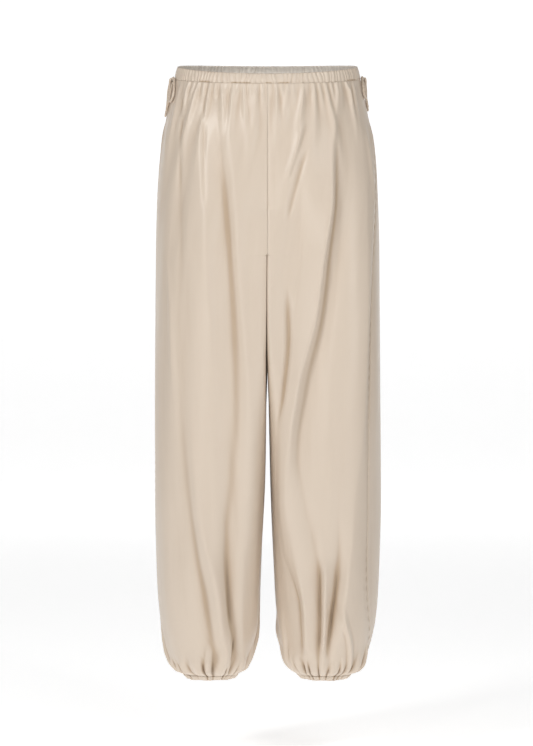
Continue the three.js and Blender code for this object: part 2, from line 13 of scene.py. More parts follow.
import bmesh
import bpy
import numpy as np
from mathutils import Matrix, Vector

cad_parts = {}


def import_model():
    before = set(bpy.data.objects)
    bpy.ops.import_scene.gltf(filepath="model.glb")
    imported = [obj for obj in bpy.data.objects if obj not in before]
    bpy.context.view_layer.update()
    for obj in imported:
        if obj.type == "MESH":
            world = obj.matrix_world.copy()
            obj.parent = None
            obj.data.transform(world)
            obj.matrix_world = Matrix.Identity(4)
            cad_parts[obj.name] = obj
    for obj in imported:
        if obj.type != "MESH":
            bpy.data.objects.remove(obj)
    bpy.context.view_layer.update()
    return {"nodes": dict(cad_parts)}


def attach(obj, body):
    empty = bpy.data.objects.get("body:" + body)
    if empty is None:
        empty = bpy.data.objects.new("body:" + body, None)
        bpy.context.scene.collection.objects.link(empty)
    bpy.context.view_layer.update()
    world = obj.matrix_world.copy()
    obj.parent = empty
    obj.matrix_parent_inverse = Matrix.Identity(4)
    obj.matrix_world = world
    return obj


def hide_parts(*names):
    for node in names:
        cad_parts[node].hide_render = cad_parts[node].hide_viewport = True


MM = 0.001
log = logging.getLogger("balloon_trousers")

BAND_HEIGHT = 16.0
WAIST_TILT = 0.2
WAIST_TILT_ENDS = 260.0
PANEL_LENGTH = 1018.0
CROTCH_DOWN = 310.0
SEAM_GAP = 0.3
WAIST_SEAM_Z = -BAND_HEIGHT / 2
CASING_HEIGHT = 7.5


class Leg(Enum):
    """A side of the garment, with its direction along X."""

    RIGHT = -1
    LEFT = 1

    @property
    def word(self) -> str:
        """The side's word in the names of its pieces."""
        return self.name.lower()


class Face(Enum):
    """The front or the back of the garment, with the sense in which a section runs."""

    FRONT = 1
    BACK = -1

    @property
    def word(self) -> str:
        """The face's word in the names of its pieces."""
        return self.name.lower()


@dataclass(frozen=True)
class Level:
    """One section of a leg: its reach from the middle, to the front and back, and its shape."""

    down: float
    outer: float
    inner: float
    front: float
    back: float
    square: float
    inner_square: float
    mid: float


@dataclass(frozen=True)
class SeamLevel:
    """Where the seams lie at a level: side seams in degrees, inseams as a share of the front's depth."""

    down: float
    right_side: float
    left_side: float
    right_inner: float
    left_inner: float
    turn: float


@dataclass(frozen=True)
class Fold:
    """A long soft fold: its route as (x, down) places, its half-widths each side, and its height."""

    leg: Leg
    face: Face
    route: tuple[tuple[float, float], ...]
    outward_width: float
    inward_width: float
    height: float


@dataclass(frozen=True)
class Crest:
    """A ridge or a valley between two soft facets of cloth, as (x, down, height) places."""

    leg: Leg
    route: tuple[tuple[float, float, float], ...]


@dataclass(frozen=True)
class RowBand:
    """A stretch of a panel down to a level, with the distance between its rows of points."""

    to: float
    pitch: float


LEVELS = (
    Level(0, 158.5, -158.5, 106, 102, 2.0, 2.0, 0),
    Level(37, 166, -158, 109, 107, 2.05, 2.05, 0),
    Level(88, 176, -148, 113, 117, 2.1, 2.1, 0),
    Level(157, 185, -122, 117, 128, 2.15, 2.15, 0),
    Level(225, 189.5, -84, 119, 134, 2.2, 2.4, 1),
    Level(265, 190.6, -47, 119, 133, 2.25, 8, 1),
    Level(290, 191, -19, 119, 131, 2.25, 24, 1),
    Level(CROTCH_DOWN, 191.2, 0.2, 118, 129, 2.3, 80, 1),
    Level(350, 191.5, 0.2, 117.3, 124.5, 2.3, 80, 1),
    Level(420, 192, 0.4, 116, 118, 2.35, 50, 0),
    Level(500, 192.7, 0.9, 114, 113, 2.3, 16, 0),
    Level(600, 193.2, 3.2, 111, 108, 2.25, 7, 1),
    Level(721, 193.2, 6.5, 107, 106, 2.15, 4, 3),
    Level(806, 191.5, 9.8, 106, 108, 2.1, 2.8, 5),
    Level(875, 189, 12.5, 104, 107, 2.1, 2.2, 7),
    Level(909, 186, 14.8, 101, 104, 2.1, 2.1, 8),
    Level(943, 181, 19, 95, 98, 2.05, 2.05, 9),
    Level(977, 173, 27, 84, 87, 2, 2, 10),
    Level(995, 165.5, 34.5, 75, 77, 2, 2, 10),
    Level(1006, 157.5, 41.5, 64.5, 65.5, 2, 2, 10),
    Level(1012, 150.5, 46, 56, 57, 2, 2, 10),
    Level(1016, 144.5, 50.5, 48.5, 48.5, 2, 2, 10),
    Level(PANEL_LENGTH, 140.5, 53.5, 43.5, 43.5, 2, 2, 10),
)

SEAM_LEVELS = (
    SeamLevel(0, 0, 0, 0, 0, 0),
    SeamLevel(170, -2, 12, 0, 0, 0),
    SeamLevel(265, -3, 25, 0, 0, 0),
    SeamLevel(CROTCH_DOWN, -4, 31, 0, 0, 0.012),
    SeamLevel(340, -4.5, 34, 0, 0.44, 0.016),
    SeamLevel(380, -5, 37, 0, 0.6, 0.018),
    SeamLevel(450, -5.5, 40, 0.2, 0.66, 0.018),
    SeamLevel(530, -6, 42, 0.33, 0.7, 0.008),
    SeamLevel(570, -6, 43, 0.31, 0.69, 0),
    SeamLevel(610, -6, 44, 0.28, 0.67, 0),
    SeamLevel(800, -6, 44, 0.13, 0.37, 0),
    SeamLevel(876, -6, 41, 0.09, 0.27, 0),
    SeamLevel(915, -6, 34, 0.06, 0.22, 0),
    SeamLevel(959, -5, 21, 0.05, 0.18, 0),
    SeamLevel(PANEL_LENGTH, -4, 12, 0.03, 0.14, 0),
)

FOLDS = (
    # the right leg's front
    Fold(Leg.RIGHT, Face.FRONT, ((142, 12), (146, 110), (150, 210)), 5, 5, -1.8),
    Fold(Leg.RIGHT, Face.FRONT, ((106, 20), (106, 80), (105, 170), (102, 240)), 3, 5, -2.4),
    Fold(Leg.RIGHT, Face.FRONT, ((172, 300), (166, 400), (160, 540)), 6, 9, 1.8),
    # the left leg's front
    Fold(Leg.LEFT, Face.FRONT, ((32, 350), (35, 444), (27, 534), (13, 600)), 4, 5, -4.2),
    Fold(Leg.LEFT, Face.FRONT, ((62, 60), (47, 120), (28, 190)), 4, 6, 3.4),
    Fold(Leg.LEFT, Face.FRONT, ((68, 110), (47, 190), (30, 260)), 5, 6, -3),
    Fold(Leg.LEFT, Face.FRONT, ((152, 20), (168, 110), (181, 230)), 5, 7, 2.6),
    # the right leg's back
    Fold(Leg.RIGHT, Face.BACK, ((60, 50), (78, 330), (92, 620), (96, 800)), 16, 20, 6.5),
    Fold(Leg.RIGHT, Face.BACK, ((118, 110), (128, 420), (112, 840)), 14, 17, -6.5),
    Fold(Leg.RIGHT, Face.BACK, ((44, 320), (52, 600), (76, 970)), 12, 14, -6.5),
    Fold(Leg.RIGHT, Face.BACK, ((30, 90), (42, 210), (72, 300)), 8, 8, -2.8),
    Fold(Leg.RIGHT, Face.BACK, ((130, 700), (122, 860), (106, 990)), 11, 10, 5.5),
    Fold(Leg.RIGHT, Face.BACK, ((150, 30), (160, 240), (158, 480)), 9, 12, 2.8),
    Fold(Leg.RIGHT, Face.BACK, ((84, 720), (90, 870), (92, 1000)), 8, 8, -6),
    # the left leg's back
    Fold(Leg.LEFT, Face.BACK, ((66, 70), (92, 380), (94, 620), (88, 840)), 16, 20, 6.5),
    Fold(Leg.LEFT, Face.BACK, ((30, 200), (56, 500), (70, 880)), 12, 14, -6.5),
    Fold(Leg.LEFT, Face.BACK, ((140, 90), (132, 460), (120, 910)), 14, 16, -6.5),
    Fold(Leg.LEFT, Face.BACK, ((106, 680), (102, 850), (96, 990)), 10, 10, 5.5),
    Fold(Leg.LEFT, Face.BACK, ((34, 110), (50, 220), (84, 310)), 8, 8, -2.8),
    Fold(Leg.LEFT, Face.BACK, ((128, 720), (124, 870), (112, 1000)), 8, 8, -6),
)

CRESTS = (
    Crest(
        Leg.RIGHT,
        (
            (150, 90, 0), (149, 208, -3.5), (146, 310, -4), (152, 413, -3.5), (148, 550, -3.5),
            (134, 700, -4.5), (119, 813, -7.5), (105, 879, -7.5), (95, 945, -5), (88, 990, -1),
        ),
    ),
    Crest(
        Leg.RIGHT,
        (
            (135, 90, 0), (130, 450, 0), (126, 600, 1), (115, 730, 3), (102, 796, 5), (90, 846, 7),
            (79, 928, 7), (71, 994, 3),
        ),
    ),
    Crest(
        Leg.RIGHT,
        (
            (109, 20, 1), (109, 122, 4), (104, 208, 5.5), (103, 310, 5.5), (95, 413, 5.5), (91, 550, 4.5),
            (86, 700, 2.5), (84, 800, 1), (78, 850, 2), (72, 928, 3), (66, 994, 1),
        ),
    ),
    Crest(
        Leg.RIGHT,
        (
            (80, 90, 0), (71, 208, -4), (62, 310, -4.5), (56, 413, -4.5), (52, 550, -3.5), (60, 680, -3),
            (68, 763, -5), (66, 829, -7), (62, 895, -7), (57, 961, -4), (54, 995, -1),
        ),
    ),
    Crest(
        Leg.RIGHT,
        (
            (60, 70, 1), (56, 208, 4), (50, 310, 4.5), (42, 413, 4.5), (32, 550, 4), (33, 680, 3),
            (38, 763, 3), (44, 829, 3.5), (46, 895, 4.5), (44, 995, 1),
        ),
    ),
    Crest(
        Leg.LEFT,
        (
            (176, 90, 0), (165, 208, 3.5), (165, 416, 4), (158, 600, 3.5), (145, 714, 3), (137, 800, 4.5),
            (131, 850, 5.5), (124, 912, 5), (116, 960, 3), (108, 1000, 1),
        ),
    ),
    Crest(
        Leg.LEFT,
        (
            (150, 90, 0), (150, 208, 1), (148, 416, 1), (130, 600, 1), (118, 714, 0), (120, 800, -3.5),
            (117, 850, -8), (108, 912, -9), (101, 960, -5), (98, 1000, -1),
        ),
    ),
    Crest(
        Leg.LEFT,
        (
            (125, 60, -1), (124, 208, -4.5), (118, 312, -5), (108, 416, -5), (88, 522, -4), (72, 640, -2),
            (78, 714, 0), (92, 800, 0), (95, 850, 4), (95, 930, 4.5), (91, 1000, 1),
        ),
    ),
    Crest(
        Leg.LEFT,
        (
            (116, 60, -1), (115, 208, -4.5), (103, 312, -5), (90, 416, -5.5), (66, 522, -5), (50, 640, -3),
            (60, 714, -2), (80, 800, -2), (87, 850, -7), (87, 930, -8), (85, 975, -4), (84, 1000, -1),
        ),
    ),
    Crest(
        Leg.LEFT,
        (
            (109, 60, 1), (108, 208, 5), (95, 312, 5.5), (81, 416, 5.5), (52, 522, 5.5), (35, 647, 5),
            (32, 714, 4), (45, 800, 3), (63, 895, 5), (66, 950, 5), (69, 990, 2),
        ),
    ),
    Crest(
        Leg.LEFT,
        (
            (55, 100, 0), (55, 310, -3), (42, 413, -3), (30, 500, -2), (17, 620, 0), (16, 720, 0),
            (25, 800, -1), (49, 895, -6), (53, 945, -6), (58, 990, -1),
        ),
    ),
)

# painted shadow where the seam under the waistband gapes, as (from, to) places across the front
STITCH_SHADOWS = ((-114.0, -95.0), (-62.0, -28.0), (-4.0, 8.0), (17.0, 38.0), (134.0, 150.0))

PANEL_ROWS = (
    RowBand(12, 1.5),
    RowBand(64, 2.8),
    RowBand(200, 5.0),
    RowBand(288, 4.0),
    RowBand(298, 2.0),
    RowBand(312, 0.9),
    RowBand(336, 2.4),
    RowBand(800, 8.0),
    RowBand(940, 4.0),
    RowBand(PANEL_LENGTH, 2.0),
)
FACE_COLUMNS = 146
WALL_COLUMNS = 34
SECTION_STEPS = 361
# how far a hollow reaches in columns, its full depth in millimetres, and its share of the painted shade in
# creases
FINE_HOLLOWS = (((6, 3.0), 0.8), ((2, 1.2), 0.4))
BROAD_HOLLOWS = (18, 9.0)
TINY = 1e-9
LEG_MIDDLE = 96.0


def smooth(value: np.ndarray) -> np.ndarray:
    """Returns an ease from 0 to 1 as the value goes from 0 to 1."""
    held = np.clip(value, 0.0, 1.0)
    return held * held * (3 - 2 * held)


def between(value: np.ndarray, low: float, high: float) -> np.ndarray:
    """Returns an ease from 0 to 1 as the value goes from low to high."""
    return smooth((value - low) / (high - low))


def monotone(places: np.ndarray, values: np.ndarray, wanted: np.ndarray) -> np.ndarray:
    """Interpolates by a monotone cubic.

    Args:
        places: The rising places of the known values.
        values: The values there.
        wanted: The places to work out.

    Returns:
        The values at the wanted places, held beyond the ends.
    """
    slopes = np.diff(values) / np.diff(places)
    tangents = np.empty_like(values)
    tangents[0], tangents[-1] = slopes[0], slopes[-1]
    before, after = slopes[:-1], slopes[1:]
    rising = before * after > 0
    tangents[1:-1] = np.where(rising, 2 * before * after / np.where(rising, before + after, 1), 0)
    place = np.clip(wanted, places[0], places[-1])
    i = np.clip(np.searchsorted(places, place, side="right") - 1, 0, len(places) - 2)
    step = places[i + 1] - places[i]
    t = (place - places[i]) / step
    return (
        (2 * t**3 - 3 * t**2 + 1) * values[i]
        + (t**3 - 2 * t**2 + t) * step * tangents[i]
        + (3 * t**2 - 2 * t**3) * values[i + 1]
        + (t**3 - t**2) * step * tangents[i + 1]
    )


def column(rows: Sequence[Level] | Sequence[SeamLevel], name: str, down: np.ndarray) -> np.ndarray:
    """Returns one column of a table of levels, worked out at the levels given."""
    places = np.array([row.down for row in rows], dtype=float)
    values = np.array([getattr(row, name) for row in rows], dtype=float)
    return monotone(places, values, np.asarray(down, dtype=float))


def unit_grid(rows: int, columns: int) -> list[np.ndarray]:
    """Returns how far down and how far along each place of a grid is, from 0 to 1."""
    return np.meshgrid(np.linspace(0, 1, rows), np.linspace(0, 1, columns), indexing="ij")


def signed_power(value: np.ndarray, exponent: np.ndarray) -> np.ndarray:
    """Returns the power of a value's size, with the value's sign."""
    return np.sign(value) * np.abs(value) ** exponent


def waves(
    across: np.ndarray, down: np.ndarray, seed: int, count: int, pitch: float, run: float
) -> np.ndarray:
    """Soft uneven ripples that run down the cloth.

    Args:
        across: Distance round the leg at each point.
        down: Distance down the leg at each point.
        seed: The seed of their phases.
        count: How many ripples are added up.
        pitch: The typical distance between two of them.
        run: The typical length of one.

    Returns:
        A height of about 1 at each point.
    """
    chance = np.random.default_rng(seed)
    height = np.zeros(np.broadcast(across, down).shape)
    for _ in range(count):
        over = 2 * math.pi / (pitch * chance.uniform(0.6, 1.8))
        along = 2 * math.pi / (run * chance.uniform(0.6, 2.0)) * chance.choice((-1, 1))
        height += np.cos(over * across + along * down + chance.uniform(0, 2 * math.pi))
    return height / math.sqrt(count)


def section_at(down: float, *names: str) -> dict[str, float]:
    """Returns the named sizes of a leg's section at a level."""
    return {name: float(column(LEVELS, name, np.array(down))) for name in names}


def smooth_mesh(name: str, shape: bmesh.types.BMesh) -> bpy.types.Mesh:
    """Returns a smooth mesh of a shape, and lets the shape go."""
    for face in shape.faces:
        face.smooth = True
    mesh = bpy.data.meshes.new(name)
    shape.to_mesh(mesh)
    shape.free()
    return mesh


def shown(name: str, data: bpy.types.ID, *materials: bpy.types.Material) -> bpy.types.Object:
    """Puts a mesh or a curve into the scene with its materials."""
    piece = bpy.data.objects.new(name, data)
    bpy.context.collection.objects.link(piece)
    for material in materials:
        data.materials.append(material)
    return piece


def claim(piece: bpy.types.Object, node: str) -> None:
    """Says that a piece is on the garment's one body, and which CAD node it replaces."""
    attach(piece, "root")
    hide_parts(node)


class Signal:
    """A shader socket that can be used in arithmetic."""

    def __init__(self, shader: "Shader", socket: bpy.types.NodeSocket) -> None:
        """Keeps the socket and the shader that it belongs to."""
        self.shader = shader
        self.socket = socket

    def _math(self, operation: str, first: "Signal | float", second: "Signal | float") -> "Signal":
        """Returns the value of a Math node on two values."""
        return self.shader.node("ShaderNodeMath", {"operation": operation}, {0: first, 1: second})

    def __add__(self, other: "Signal | float") -> "Signal":
        """Returns the sum."""
        return self._math("ADD", self, other)

    def __radd__(self, other: float) -> "Signal":
        """Returns the sum."""
        return self._math("ADD", other, self)

    def __sub__(self, other: "Signal | float") -> "Signal":
        """Returns the difference."""
        return self._math("SUBTRACT", self, other)

    def __rsub__(self, other: float) -> "Signal":
        """Returns the difference from a number."""
        return self._math("SUBTRACT", other, self)

    def __mul__(self, other: "Signal | float") -> "Signal":
        """Returns the product."""
        return self._math("MULTIPLY", self, other)

    def __rmul__(self, other: float) -> "Signal":
        """Returns the product."""
        return self._math("MULTIPLY", other, self)

    def eased(self, low: float, high: float) -> "Signal":
        """Returns an ease from 0 to 1 as the value goes from low to high."""
        settings = {"interpolation_type": "SMOOTHSTEP"}
        return self.shader.node("ShaderNodeMapRange", settings, {0: self, 1: low, 2: high})


class Shader:
    """A material under construction, with one method for any node."""

    def __init__(self, name: str) -> None:
        """Makes an empty node material of that name."""
        self.material = bpy.data.materials.new(name)
        self.material.use_nodes = True
        self.material.node_tree.nodes.clear()

    def node(
        self,
        kind: str,
        settings: Mapping[str, object] | None = None,
        inputs: Mapping[str | int, object] | None = None,
        output: str | int = 0,
    ) -> Signal:
        """Adds a node.

        Args:
            kind: The node's type.
            settings: The node's own properties, which are set first.
            inputs: Values or signals for its sockets, by name or number.
            output: The socket to return.

        Returns:
            The signal of that output.
        """
        made = self.material.node_tree.nodes.new(kind)
        for name, value in (settings or {}).items():
            setattr(made, name, value)
        for name, value in (inputs or {}).items():
            if isinstance(value, Signal):
                self.material.node_tree.links.new(value.socket, made.inputs[name])
            else:
                made.inputs[name].default_value = value
        sockets = made.outputs
        return Signal(self, sockets[output] if len(sockets) else made.inputs[0])

    def mixed(self, factor: Signal | float, low: object, high: object) -> Signal:
        """Returns a mix of two colours."""
        return self.node("ShaderNodeMix", {"data_type": "RGBA"}, {0: factor, 6: low, 7: high}, 2)

    def noise(self, where: Signal, scale: float, detail: float = 2.0) -> Signal:
        """Returns soft noise of that scale."""
        return self.node("ShaderNodeTexNoise", {}, {"Vector": where, "Scale": scale, "Detail": detail})

    def stretched(self, where: Signal, scale: Sequence[float]) -> Signal:
        """Returns places that are scaled along each axis."""
        return self.node("ShaderNodeMapping", {}, {"Vector": where, "Scale": tuple(scale)})

    def bumped(self, height: Signal, strength: float, distance: float) -> Signal:
        """Returns the normal of a surface with that relief, its distance in metres."""
        inputs = {"Strength": strength, "Distance": distance, "Height": height}
        return self.node("ShaderNodeBump", {}, inputs)

    def finished(self, inputs: Mapping[str | int, object]) -> bpy.types.Material:
        """Returns the material with a surface of those inputs."""
        surface = self.node("ShaderNodeBsdfPrincipled", {}, inputs)
        self.node("ShaderNodeOutputMaterial", {}, {"Surface": surface})
        return self.material


@dataclass(frozen=True)
class SatinFinish:
    """Champagne satin: a warm thread colour with painted shade darkening its creases, a soft sheen, slubs
    and a fine float weave.
    """

    name: str
    light: tuple[float, float, float, float]
    # the deep colour is painted shade in creases and also the dark end of the random tone; the next colour
    # is painted shadow for the deepest creases
    deep: tuple[float, float, float, float]
    pocket_shade: tuple[float, float, float, float]
    roughness: float
    specular: float

    def build(self) -> bpy.types.Material:
        """Returns the finished material."""
        shader = Shader(self.name)
        cloth = shader.node("ShaderNodeUVMap", {"uv_map": "cloth"})
        crease = shader.node("ShaderNodeAttribute", {"attribute_name": "crease"}, output="Fac")
        slubs = shader.noise(shader.stretched(cloth, (900.0, 40.0, 1.0)), 1.0)
        clouds = shader.noise(shader.stretched(cloth, (14.0, 4.0, 1.0)), 1.0, 3.0)
        # painted shade: the colour darkens in creases, mixed with random tone from the clouds and slubs
        depth = crease * 0.75 + clouds.eased(0.35, 0.7) * 0.12 + (slubs - 0.5) * 0.16
        colour = shader.mixed(depth.eased(0.0, 1.0), self.light, self.deep)
        # painted shadow: the deepest creases turn dark brown
        colour = shader.mixed(crease.eased(1.1, 2.1), colour, self.pocket_shade)
        gloss = clouds * 0.08 + slubs * 0.1 + (self.roughness - 0.09)
        floats = shader.node(
            "ShaderNodeTexWave",
            {"wave_type": "BANDS", "bands_direction": "DIAGONAL"},
            {
                "Vector": shader.stretched(cloth, (700.0, 240.0, 1.0)),
                "Scale": 1.0,
                "Distortion": 1.4,
                "Detail": 1.0,
            },
        )
        relief = slubs * 0.7 + floats * 0.3
        return shader.finished(
            {
                "Base Color": colour,
                "Roughness": gloss,
                "Specular IOR Level": self.specular,
                "Normal": shader.bumped(relief, 0.1, 0.0002),
            }
        )


@dataclass(frozen=True)
class CordFinish:
    """The satin of the drawcord: a narrow bias tube with faint cross wrinkles."""

    name: str
    light: tuple[float, float, float, float]
    deep: tuple[float, float, float, float]

    def build(self) -> bpy.types.Material:
        """Returns the finished material."""
        shader = Shader(self.name)
        place = shader.node("ShaderNodeTexCoord", output="Object")
        wrinkles = shader.noise(shader.stretched(place, (260.0, 260.0, 520.0)), 1.0, 3.0)
        thread = shader.noise(place, 2600.0)
        colour = shader.mixed((wrinkles * 0.7 + thread * 0.3).eased(0.35, 0.75), self.light, self.deep)
        return shader.finished(
            {
                "Base Color": colour,
                "Roughness": wrinkles * 0.1 + 0.32,
                "Specular IOR Level": 0.5,
                "Sheen Weight": 0.2,
                "Normal": shader.bumped(wrinkles, 0.35, 0.0006),
            }
        )


@dataclass(frozen=True)
class PaperFinish:
    """The plain pale ground of the studio."""

    name: str
    colour: tuple[float, float, float, float]
    glow: float

    def build(self) -> bpy.types.Material:
        """Returns the finished material."""
        shader = Shader(self.name)
        place = shader.node("ShaderNodeTexCoord", output="Object")
        grain = shader.noise(place, 3.0)
        tint = shader.mixed(grain * 0.1, self.colour, (0.9, 0.9, 0.9, 1.0))
        return shader.finished(
            {"Base Color": tint, "Roughness": 0.9, "Emission Color": tint, "Emission Strength": self.glow}
        )


@dataclass
class Wardrobe:
    """The finishes that the pieces wear."""

    satin: bpy.types.Material = field(init=False)
    reverse: bpy.types.Material = field(init=False)
    cord: bpy.types.Material = field(init=False)
    paper: bpy.types.Material = field(init=False)

    def __post_init__(self) -> None:
        """Builds each finish once."""
        light = (0.64, 0.54, 0.44, 1.0)
        # the deep colour is painted shade in creases; the brown one is painted shadow in the deepest creases
        deep = (0.47, 0.355, 0.25, 1.0)
        deep_crease_shadow = (0.25, 0.172, 0.105, 1.0)
        self.satin = SatinFinish("champagne_satin", light, deep, deep_crease_shadow, 0.36, 0.5).build()
        # the wrong side: a duller satin, lightened past its own colour as painted light where it shows
        # inside the waistband and hems
        dull_and_painted_light = (0.9, 0.84, 0.76, 1.0)
        shade = (0.74, 0.66, 0.58, 1.0)
        self.reverse = SatinFinish("satin_wrong_side", dull_and_painted_light, shade, deep_crease_shadow, 0.6, 0.3).build()
        self.cord = CordFinish("satin_cord", light, deep).build()
        self.paper = PaperFinish("studio_paper", (0.96, 0.96, 0.96, 1.0), 0.62).build()


@dataclass
class ClothGrid:
    """A sheet of cloth made as a grid of places, rows down and columns across, in millimetres."""

    name: str
    places: np.ndarray
    across: np.ndarray
    down: np.ndarray
    crease: np.ndarray
    wall: float
    middle: tuple[float, float]

    def build(self, wardrobe: Wardrobe, node: str) -> bpy.types.Object:
        """Makes the cloth and its wall.

        Args:
            wardrobe: The finishes.
            node: The CAD node that the cloth replaces.

        Returns:
            The finished piece.
        """
        rows, columns = self.places.shape[:2]
        shape = bmesh.new()
        bmesh.ops.create_grid(shape, x_segments=columns - 1, y_segments=rows - 1, size=0.5)
        shape.verts.ensure_lookup_table()
        flat = np.array([vert.co[:2] for vert in shape.verts])
        j = np.rint((flat[:, 0] + 0.5) * (columns - 1)).astype(int)
        i = np.rint((flat[:, 1] + 0.5) * (rows - 1)).astype(int)
        # painted shade in creases, stored on each point for the finish
        creases = shape.verts.layers.float.new("crease")
        chart = shape.loops.layers.uv.new("cloth")
        across, down = self.across * MM, self.down * MM
        for vert, row, col in zip(shape.verts, i.tolist(), j.tolist()):
            vert.co = self.places[row, col] * MM
            vert[creases] = self.crease[row, col]
            for loop in vert.link_loops:
                loop[chart].uv = (across[row, col], -down[row, col])
        bmesh.ops.remove_doubles(shape, verts=shape.verts, dist=0.01 * MM)
        shape.normal_update()
        middle = Vector(self.middle) * MM
        facing = sum(face.normal.xy.dot(face.calc_center_median().xy - middle) for face in shape.faces)
        if facing < 0:
            bmesh.ops.reverse_faces(shape, faces=shape.faces)
        mesh = smooth_mesh(self.name, shape)
        piece = shown(self.name, mesh, wardrobe.satin, wardrobe.reverse)
        wall = piece.modifiers.new("cloth_wall", "SOLIDIFY")
        wall.thickness = self.wall * MM
        wall.offset = -1
        wall.material_offset = 1
        claim(piece, node)
        return piece


def hollows(height: np.ndarray, reach: int, depth: float) -> np.ndarray:
    """Shows where cloth lies in a hollow, as the mask of the painted shade in creases.

    Args:
        height: The cloth's height at each place of a grid.
        reach: How many columns to each side it is compared with.
        depth: How far below them counts as a full crease.

    Returns:
        A value from 0, on open cloth, to 1, deep in a hollow.
    """
    padded = np.pad(height, ((0, 0), (reach, reach)), mode="edge")
    total = np.cumsum(np.pad(padded, ((0, 0), (1, 0))), axis=1)
    wide = 2 * reach + 1
    average = (total[:, wide:] - total[:, :-wide]) / wide
    return np.clip((average - height) / depth, 0, 1)


def hem_pleats(
    leg: Leg, face: Face, share: np.ndarray, up: np.ndarray, count: int = 11
) -> np.ndarray:
    """Shapes the uneven pleats that draw one side of a leg into its hem casing.

    Args:
        leg: The leg.
        face: Its front or back.
        share: How far round from the side seam to the inseam.
        up: The distance above the casing's seam, below 0 on the casing.
        count: How many pleats there are.

    Returns:
        The height of the cloth over its plain form.
    """
    chance = np.random.default_rng(140 + 7 * leg.value + 3 * face.value)
    edges = np.arange(1, count) + chance.uniform(-0.4, 0.4, count - 1)
    edges = np.concatenate(([0], edges, [count])) / count
    height = np.zeros(np.broadcast(share, up).shape)
    for k in range(count):
        low, high = edges[k], edges[k + 1]
        lean = chance.uniform(0.5, 1.9)
        reach = chance.uniform(95, 190) if chance.random() < 0.3 else chance.uniform(26, 72)
        tall = chance.uniform(4, 8.5)
        bow = chance.uniform(-0.5, 0.5) * (high - low) * smooth(up / 70)
        phase = np.clip((share + bow - low) / (high - low), 0, 1) ** lean
        rise = smooth((reach - up) / (reach * 0.8))
        drawn = smooth((18 - up) / 20)
        swell = np.sin(math.pi * phase) ** (0.8 + smooth(up / 60))
        height += rise * (tall * (1 - drawn) + 4.3 * drawn) * swell
    fine = waves(share * 150, up, 60 + 2 * leg.value + face.value, 8, 7, 120) * 0.5
    return height + fine * smooth((45 - up) / 45) * np.sin(math.pi * np.clip(share, 0, 1)) ** 0.3


